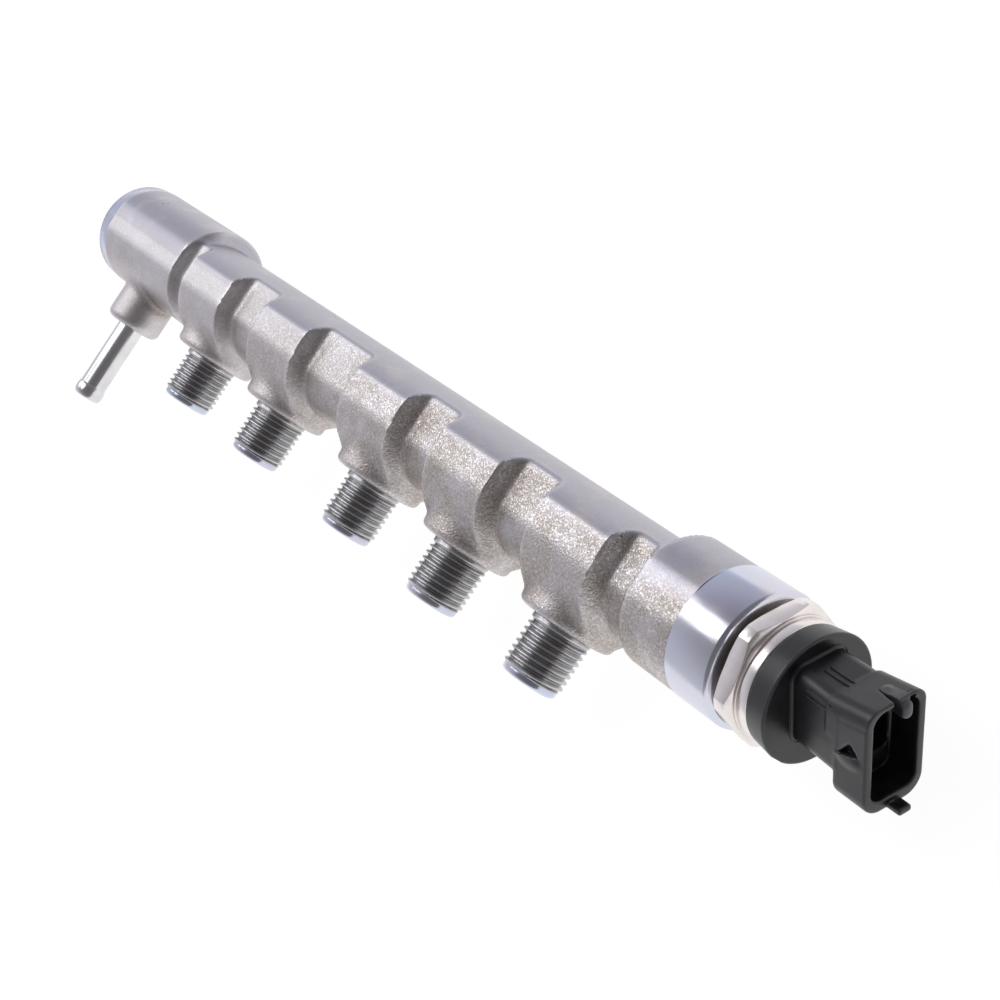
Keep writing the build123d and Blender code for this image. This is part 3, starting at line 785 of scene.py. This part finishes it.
def markZones(piece):
    # Per vertex: how far a wall closes in, for painted shade in the recesses, the pressed flats, the smooth
    # drawn back, and the coarser near end
    place, facing = vertexRows(piece.data, "co") / mm, vertexRows(piece.data, "normal")
    x, y, z = place.T
    closed = sum(1 - np.clip(forgingField(*(place + facing * depth).T) / depth, 0, 1)
                 for depth in zoning["depths"]) / len(zoning["depths"])
    height = sectionAt(x)[0]
    flat = np.clip((np.abs(z) - height + arcs["pressed"]) * 4 + 1.6, 0, 1)
    drawn = np.where(y > 0.5, np.clip(rearArcAt(x, y, z) * 0.8 + 1.15, 0, 1), 0)
    along = np.clip((x - zoning["fineTo"]) / zoning["coarseOver"], 0, 1)
    # recess: painted shade where the walls close in, less on the drawn back and on the flats
    zones = {"recess": np.clip(closed * 2.4 - 0.28, 0, 1) * (1 - drawn) * (1 - 0.6 * flat),
             "flat": flat * (1 - drawn), "drawn": drawn,
             "coarse": zoning["fine"] + (1 - zoning["fine"]) * along}
    for name, value in zones.items():
        storeMask(piece.data, name, np.clip(value, 0, 1))


markZones(railBody)
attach(railBody, "root")
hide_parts("rail_body")
print("rail bored", len(railBody.data.polygons))

# Return pipe with its rolled bead

pipe = {"r": 3.8, "bore": 3.0, "socket": 16.2, "beadY": 46.0, "beadR": 4.2, "beadHalf": 1.9, "tip": 48.1}
swell = [(pipe["beadY"] - pipe["beadHalf"] * cos(a), pipe["r"] + (pipe["beadR"] - pipe["r"]) * sin(a) ** 1.2)
         for a in np.radians(np.linspace(0, 120, 15))]
pipeProfile = [(pipe["socket"], pipe["bore"]), (pipe["socket"], pipe["r"]), *swell,
               (pipe["tip"] - 0.6, pipe["r"] + 0.15), (pipe["tip"] - 0.28, pipe["r"] - 0.06),
               (pipe["tip"] - 0.08, pipe["r"] - 0.3), (pipe["tip"], pipe["r"] - 0.5),
               (pipe["tip"], pipe["bore"] + 0.15), (pipe["tip"] - 0.2, pipe["bore"])]
returnPipe = newPiece("return_tube", turned(pipeProfile, alongPort(returnBoss["x"]), 64), (drawn,), 38)
markWearAndCornerShade(returnPipe, 0.3, 1)
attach(returnPipe, "root")
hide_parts("return_pipe")
print("return pipe made")

# Sensor port: thread end, hexagon and low flange

port = {"hexStart": 274.9, "hexEnd": 278.8, "flats": 27.0, "corner": 14.9, "turn": 78.4, "bevel": 0.09,
        "chamferR": (13.7, 13.35), "chamferLength": (0.45, 0.75)}


def hexPrism(low, high):
    corners = [radians(port["turn"]) + k * pi / 3 for k in range(6)]
    reach = port["flats"] / 2 / cos(pi / 6)
    ends = [[(x, reach * cos(a), reach * sin(a)) for a in corners] for x in (low, high)]
    sides = [[k, (k + 1) % 6, (k + 1) % 6 + 6, k + 6] for k in range(6)]
    return ends[0] + ends[1], [list(range(6))[::-1], list(range(6, 12)), *sides]


startR, endR = port["chamferR"]
startLength, endLength = port["chamferLength"]
disc = turned([(port["hexStart"], 0), (port["hexStart"], startR),
               (port["hexStart"] + startLength, port["corner"]), (port["hexEnd"] - endLength, port["corner"]),
               (port["hexEnd"], endR), (port["hexEnd"], 0)], alongX, 192)
sensorPort = newPiece("sensor_hexagon", disc, (nickel,))
prism = newPiece("prism", hexPrism(port["hexStart"] - 1, port["hexEnd"] + 1), (nickel,))
boolean(sensorPort, prism, "INTERSECT")
shank = turned([(254.03, 0), (254.03, 6.47), (255.03, 7.4), (259.03, 7.4), (260.0, 8.51), (272.4, 8.51),
                (272.4, 8.0), (275.4, 8.0), (275.4, 0)], alongX, 96)
flange = turned([(278.0, 0), (278.0, 13.0), (278.8, 13.0), (278.86, 13.1), (279.0, 13.14), (279.12, 13.08),
                 (279.2, 12.9), (279.2, 10.55), (280.0, 10.55), (280.0, 0)], alongX, 160)
for shape in (shank, flange):
    boolean(sensorPort, newPiece("addition", shape, (nickel,)), "UNION")
pressureBore = turned([(253, 0), (253, 1.75), (276.6, 1.75), (276.6, 5.6), (281, 5.6), (281, 0)], alongX, 64)
boolean(sensorPort, newPiece("hole", pressureBore, (nickel,)), "DIFFERENCE")
bevelEdges(sensorPort, port["bevel"])
finishMesh(sensorPort, 28)
markWearAndCornerShade(sensorPort, 0.3, 0)
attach(sensorPort, "root")
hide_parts("sensor_port")

sleeveProfile = [(279.2, 10.55), (279.2, 12.45), (279.35, 12.62), (279.55, 12.66), (279.75, 12.9),
                 (280.0, 12.95), (281.45, 12.95), (281.7, 12.88), (281.83, 12.7), (281.85, 12.5),
                 (281.85, 11.4), (281.15, 11.4), (281.15, 12.15), (280.0, 12.15), (280.0, 10.55)]
crimpSleeve = newPiece("crimped_ring", turned(sleeveProfile, alongX, 128), (nickel,), 38)
markWearAndCornerShade(crimpSleeve, 0.3, 1)
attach(crimpSleeve, "root")
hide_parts("crimp_sleeve")
print("sensor metal made")

# Connector housing, in its own directions: side and up

plug = {"turn": 49.6, "lean": -2.3, "front": 287.13, "hood": 296.13, "shell": 298.13, "mouth": 306.43,
        "side": 7.1, "rootSide": 6.4, "neckTop": 9.7, "neckBottom": 7.0, "neckStart": 285.4, "top": 11.4,
        "bottom": 11.9, "neckCorner": 2.8, "shellCorner": 4.2, "mouthSpread": 0.1,
        "cell": 0.3, "low": (279.6, -13.4, -13.4), "high": (309.9, 13.4, 13.4)}
roundBase = {"start": 281.88, "r": 12.85, "edge": 0.45, "taper": 0.14, "taperFrom": 282,
             "flange": (280.0, 281.12), "flangeR": 12.12, "lip": (280.0, 282.5), "lipR": 11.37,
             "cavityR": 8.5, "cavityEnd": 285.33, "groove": (9.2, 10.4), "grooveEnd": 280.9}
socket = {"side": 5.5, "roof": 1.0, "bottom": 9.4, "corner": 2.6, "floor": 299.73,
          "deepSide": 4.8, "deepTop": 8.1, "deepBottom": 4.8, "deepCorner": 1.2, "deep": (291.63, 300.5)}
guide = {"spreadStart": 301.2, "spreadLength": 5.2,
         "slot": {"side": (0.5, 0.65), "up": (7.0, 14), "along": (301.3, 320)}, "slotSpread": 1.35,
         "gap": {"side": (2.9, 4.3), "up": (8.3, 10.9), "along": (305.2, 320)},
         "bar": {"side": (0.65, 2.95), "up": (7.6, 11.0), "along": (301.0, 307.6)}, "barFall": (0.5, 0.25),
         "tongue": {"side": (-1.2, 1.8), "up": (-12.3, -10.9), "along": (303.0, 309.23)}}
latch = {"cornerX": 299.5, "cornerUp": -0.4, "sillRise": 0.294, "backRise": 1.276, "frontX": 302.4,
         "frontUp": 3.3, "peak": 0.9, "floor": -5.9, "floorFall": 0.3, "wall": -7.9,
         "thumbAt": (302.0, -6.9, -0.4), "thumbReach": (3.3, 0.75, 2.0)}
shellTurn = radians(plug["turn"] + plug["lean"])
side = np.array([0, sin(shellTurn), -cos(shellTurn)])
up = np.array([0, cos(shellTurn), sin(shellTurn)])


def slab(value, low, high):
    return np.maximum(low - value, value - high)


def boxField(x, s, u, spans, rounding=0):
    # spans: the low and high end to the side, up and along
    field = slab(s, *spans["side"])
    for wall in (slab(u, *spans["up"]), slab(x, *spans["along"])):
        field = blendMax(field, wall, rounding) if rounding else np.maximum(field, wall)
    return field


def baseField(x, r):
    b = roundBase
    disc = roundedRod(x, r - b["taper"] * (x - b["taperFrom"]), plug["front"], b["r"], b["edge"])
    disc = np.maximum(disc, b["start"] - x)
    flange = np.maximum(r - b["flangeR"], slab(x, *b["flange"]))
    lip = np.maximum(r - b["lipR"], slab(x, *b["lip"]))
    return np.minimum(disc, np.minimum(flange, lip))


def shellField(x, s, u, base):
    # The neck widens only on the side with the latch recess, and the hood rises to the mouth
    p = plug
    grow = np.clip((x - p["front"]) / (p["shell"] - p["front"]), 0, 1)
    widen = (p["side"] - p["rootSide"]) * grow / 2
    flare = np.clip((x - p["hood"]) / (p["mouth"] - p["hood"]), 0, 1)
    top = p["neckTop"] + (p["top"] - p["neckTop"]) * flare
    neckPart = roundedRectangle(s + widen, u, p["rootSide"] + widen, p["neckTop"], p["neckBottom"],
                                p["neckCorner"])
    neckPart = np.maximum(neckPart, slab(x, p["neckStart"], p["shell"] + 1))
    solid = blendMin(base, neckPart, 0.5)
    hood = blendMax(roundedRectangle(s, u, p["side"], top, 0.0, p["neckCorner"]),
                    slab(x, p["hood"], p["mouth"]), 0.5)
    shell = blendMax(roundedRectangle(s, u, p["side"] + p["mouthSpread"] * flare, top, p["bottom"],
                                      p["shellCorner"]), slab(x, p["shell"], p["mouth"]), 0.7)
    solid = blendMin(solid, np.minimum(hood, shell), 0.3)
    inside = roundedRectangle(s, u, socket["side"], top - socket["roof"], socket["bottom"], socket["corner"])
    solid = blendMax(solid, -blendMax(inside, socket["floor"] - x, 0.4), 0.35)
    deep = roundedRectangle(s, u, socket["deepSide"], socket["deepTop"], socket["deepBottom"],
                            socket["deepCorner"])
    return np.maximum(solid, -np.maximum(deep, slab(x, *socket["deep"])))


def guided(x, s, u, solid):
    # The bar in the socket's roof with the slot and the gap beside it, and the tongue below the mouth
    spread = np.clip((x - guide["spreadStart"]) / guide["spreadLength"], 0, 1)
    slotSide, slotEnd = guide["slot"]["side"]
    slot = dict(guide["slot"], side=(slotSide - guide["slotSpread"] * spread, slotEnd))
    solid = np.maximum(solid, -boxField(x, s, u, slot))
    solid = np.maximum(solid, -boxField(x, s, u, guide["gap"]))
    fall = [end - drop * spread for end, drop in zip(guide["bar"]["up"], guide["barFall"])]
    solid = blendMin(solid, boxField(x, s, u, dict(guide["bar"], up=fall), 1.1), 0.2)
    return blendMin(solid, boxField(x, s, u, guide["tongue"], 0.5), 0.3)


def latched(x, s, u, solid):
    # A triangular pocket in the side with a sill, and a low thumb rest under it; each slope is divided out
    c = latch
    sill = c["cornerUp"] + (x - c["cornerX"]) * c["sillRise"]
    backWall = (u - c["cornerUp"] - (x - c["cornerX"]) * c["backRise"]) / 1.62
    frontWall = (u - c["frontUp"] + (x - c["frontX"])) / 1.414
    outline = blendMax(blendMax(backWall, frontWall, c["peak"]), (sill - u) / 1.04, 0.15)
    floorAt = c["floor"] - np.clip(u - sill, 0, 3) * c["floorFall"]
    pocket = np.maximum(np.maximum(outline, s - floorAt), c["wall"] - s)
    solid = blendMax(solid, -pocket, 0.12)
    spans = zip((x, s, u), c["thumbAt"], c["thumbReach"])
    thumb = np.sqrt(sum(((value - at) / reach) ** 2 for value, at, reach in spans))
    thumb = np.maximum((thumb - 1) * min(c["thumbReach"]), u - sill)
    return blendMin(solid, thumb, 0.25)


def housingField(x, y, z):
    s, u = y * side[1] + z * side[2], y * up[1] + z * up[2]
    r = np.hypot(y, z)
    solid = latched(x, s, u, guided(x, s, u, shellField(x, s, u, baseField(x, r))))
    cavity = np.maximum(r - roundBase["cavityR"], x - roundBase["cavityEnd"])
    groove = np.maximum(slab(r, *roundBase["groove"]), x - roundBase["grooveEnd"])
    return np.maximum(solid, -np.minimum(cavity, groove))


housingShape = surfaceNet(housingField, plug["low"], plug["high"], plug["cell"])
housing = newPiece("plug_housing", housingShape, (blackPlastic,), 50)
markWearAndCornerShade(housing, 0.25, 2)


scuffed = {"bar": {"side": (0.8, 3.0), "up": (6.9, 11.2), "along": (301.6, 320)},
           "barEnd": {"side": (-1.3, 1.9), "up": (-10.8, 320), "along": (306.6, 320)}, "endInset": 0.3}


def markScuffs(piece):
    # The guide bar is rubbed and dusty, most of all at its end
    x, y, z = vertexRows(piece.data, "co").T / mm
    s, u = y * side[1] + z * side[2], y * up[1] + z * up[2]
    bar, barEnd = [boxField(x, s, u, scuffed[spot]) for spot in ("bar", "barEnd")]
    rubbed = np.minimum(bar, barEnd + scuffed["endInset"])
    storeMask(piece.data, "scuff", np.clip(0.6 - rubbed * 2, 0, 1))


markScuffs(housing)
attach(housing, "root")
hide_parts("connector_housing")
print("housing meshed", len(housing.data.polygons))


def squareBar(centre, halfX, halfSide, halfUp):
    corners = []
    for du in (-1, 1):
        for dx, ds in ((-1, -1), (1, -1), (1, 1), (-1, 1)):
            corners.append(np.array([centre[0] + dx * halfX, 0, 0]) + side * (centre[1] + ds * halfSide)
                           + up * (centre[2] + du * halfUp))
    quads = [(0, 3, 2, 1), (4, 5, 6, 7), (0, 1, 5, 4), (1, 2, 6, 5), (2, 3, 7, 6), (3, 0, 4, 7)]
    return corners, quads, [0] * 6


ribs = {"halfLength": 3.0, "halfWidth": 0.16, "bevel": 0.08,
        "topMiddle": 293.6, "topSides": (-0.6, -2.0), "topHalfHeight": 0.5, "topSunk": 0.2,
        "sideMiddle": 294.2, "sideUps": (6.9, 8.2), "sideHalfHeight": 0.55, "sideReach": -6.55}
ribShapes = [squareBar((ribs["topMiddle"], s, plug["neckTop"] - ribs["topSunk"]), ribs["halfLength"],
                       ribs["halfWidth"], ribs["topHalfHeight"]) for s in ribs["topSides"]]
ribShapes += [squareBar((ribs["sideMiddle"], ribs["sideReach"], u), ribs["halfLength"],
                        ribs["sideHalfHeight"], ribs["halfWidth"]) for u in ribs["sideUps"]]
housingRibs = newPiece("housing_ribs", joined(*ribShapes), (blackPlastic,))
bevelEdges(housingRibs, ribs["bevel"])
housingRibs.data.shade_smooth()


def beadLoop(x, halfSide, top, bottom, corner, r, around=10):
    # A thin moulded line that follows a rounded rectangle
    path = []
    for turn, (s, u) in enumerate(((1, 1), (-1, 1), (-1, -1), (1, -1))):
        for a in np.radians(np.linspace(0, 90, 9)) + turn * pi / 2:
            centreUp = (top if u > 0 else -bottom) - u * corner
            centreSide = s * (halfSide - corner)
            path.append((centreSide + corner * cos(a), centreUp + corner * sin(a), cos(a), sin(a)))
    verts, count = [], len(path)
    for s, u, outS, outU in path:
        for a in np.linspace(0, 2 * pi, around, endpoint=False):
            w = r * cos(a)
            verts.append(np.array([x + r * sin(a), 0, 0]) + side * (s + outS * w) + up * (u + outU * w))
    faces = [[i * around + j, i * around + (j + 1) % around, (i + 1) % count * around + (j + 1) % around,
              (i + 1) % count * around + j] for i in range(count) for j in range(around)]
    return verts, faces


bead = {"lift": 0.03, "away": 0.6, "corner": 3.3, "r": 0.13}
beadShape = beadLoop(plug["front"] + bead["lift"], plug["rootSide"] + bead["away"],
                     plug["neckTop"] + bead["away"], plug["neckBottom"] + bead["away"], bead["corner"],
                     bead["r"])
rootBead = newPiece("root_bead", beadShape, (blackPlastic,), 60)
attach(rootBead, "root")
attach(housingRibs, "root")


def numbered(name, count):
    return [f"{name}_{k}" for k in range(1, count + 1)]


cadFinishes = {stainless: [*numbered("throttle", 5), "sensing_cell"], sealRubber: ["housing_seal"],
               blackPlastic: ["board_frame"], solderMask: ["sensor_board"], chipPlastic: ["signal_chip"],
               firedClay: numbered("capacitor", 2),
               tinned: numbered("terminal", 3) + numbered("contact_spring", 3)}
for material, names in cadFinishes.items():
    for name in names:
        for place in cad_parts[name].material_slots:
            place.material = material
print("small parts finished")

# Floor, backdrop, light and camera

stage = {"floor": -0.01585, "reach": 12.0, "paper": 0.86, "glow": 1.13, "shadow": 0.16, "tent": 0.9}
floorMesh = bpy.data.meshes.new("floor")
floorCorners = [(x * stage["reach"], y * stage["reach"], stage["floor"])
                for x, y in ((-1, -1), (1, -1), (1, 1), (-1, 1))]
floorMesh.from_pydata(floorCorners, [], [(0, 1, 2, 3)])
floor = bpy.data.objects.new("floor", floorMesh)
bpy.context.scene.collection.objects.link(floor)
paper, tree, shader = finish("white paper", 0.0, Roughness=0.9)
shader.inputs["Base Color"].default_value = (stage["paper"], stage["paper"], stage["paper"], 1)
glow = add(tree, "ShaderNodeEmission", Color=(1, 1, 1, 1), Strength=stage["glow"])
seen = add(tree, "ShaderNodeLightPath")
blend = add(tree, "ShaderNodeMixShader")
mirrored = maths(tree, "MAXIMUM", seen.outputs["Is Glossy Ray"], seen.outputs["Is Transmission Ray"])
shown = maths(tree, "MAXIMUM", seen.outputs["Is Camera Ray"], mirrored)
share = times(tree, shown, 1 - stage["shadow"])  # the rest of it takes the object's shadow
tree.links.new(share, blend.inputs[0])
tree.links.new(shader.outputs[0], blend.inputs[1])
tree.links.new(glow.outputs[0], blend.inputs[2])
tree.links.new(blend.outputs[0], tree.nodes["Material Output"].inputs[0])
floorMesh.materials.append(paper)

# The camera fitted to the photo, in metres and unit vectors
view = {"place": (0.47676, 0.00795, 0.27754), "right": (0.5674, 0.5510, -0.6119),
        "up": (-0.4000, 0.8340, 0.3800), "back": (0.7197, 0.0291, 0.6937), "lens": 65.309}

# A tent of light: pale away from the main view, dark round it
world = bpy.data.worlds.new("studio")
bpy.context.scene.world = world
world.use_nodes = True
tree = world.node_tree
sky = tree.nodes["Background"]
place = add(tree, "ShaderNodeTexCoord")
towardsViewer = add(tree, "ShaderNodeVectorMath", operation="DOT_PRODUCT")
towardsViewer.inputs[1].default_value = view["back"]
tree.links.new(place.outputs["Generated"], towardsViewer.inputs[0])
share = timesPlusHalf(tree, towardsViewer.outputs["Value"], 0.5)
tent = [(0.0, (0.8, 0.81, 0.88)), (0.42, (0.68, 0.69, 0.76)), (0.62, (0.46, 0.455, 0.48)),
        (0.78, (0.26, 0.255, 0.265)), (1.0, (0.17, 0.165, 0.17))]
tree.links.new(ramp(tree, tent, share), sky.inputs["Color"])
sky.inputs["Strength"].default_value = stage["tent"]

# Place, point aimed at, size across and brightness of each soft box, in metres and as seen in a mirror
lamps = {"overhead": ((-0.08, 0.02, 0.8), (0.14, 0, 0), 0.42, 2.0),
         "far": ((-0.60, 0.07, 0.80), (0.2, 0, 0), 0.56, 1.8)}
for name, (spot, aim, size, glare) in lamps.items():
    light = bpy.data.lights.new(name, "AREA")
    light.shape = "DISK"
    light.size = size
    light.energy = glare * pi * pi * (size / 2) ** 2
    lamp = bpy.data.objects.new(name, light)
    bpy.context.scene.collection.objects.link(lamp)
    lamp.location = spot
    lamp.rotation_euler = (Vector(aim) - Vector(spot)).to_track_quat("-Z", "Y").to_euler()

lens = bpy.data.cameras.new("camera")
lens.lens = view["lens"]
lens.sensor_width = 36.0
lens.clip_start = 0.01
camera = bpy.data.objects.new("camera", lens)
bpy.context.scene.collection.objects.link(camera)
turnTo = Matrix((view["right"], view["up"], view["back"])).transposed().to_4x4()
camera.matrix_world = Matrix.Translation(view["place"]) @ turnTo
bpy.context.scene.camera = camera
bpy.context.scene.view_settings.view_transform = "Standard"
print("stage lit and camera placed")
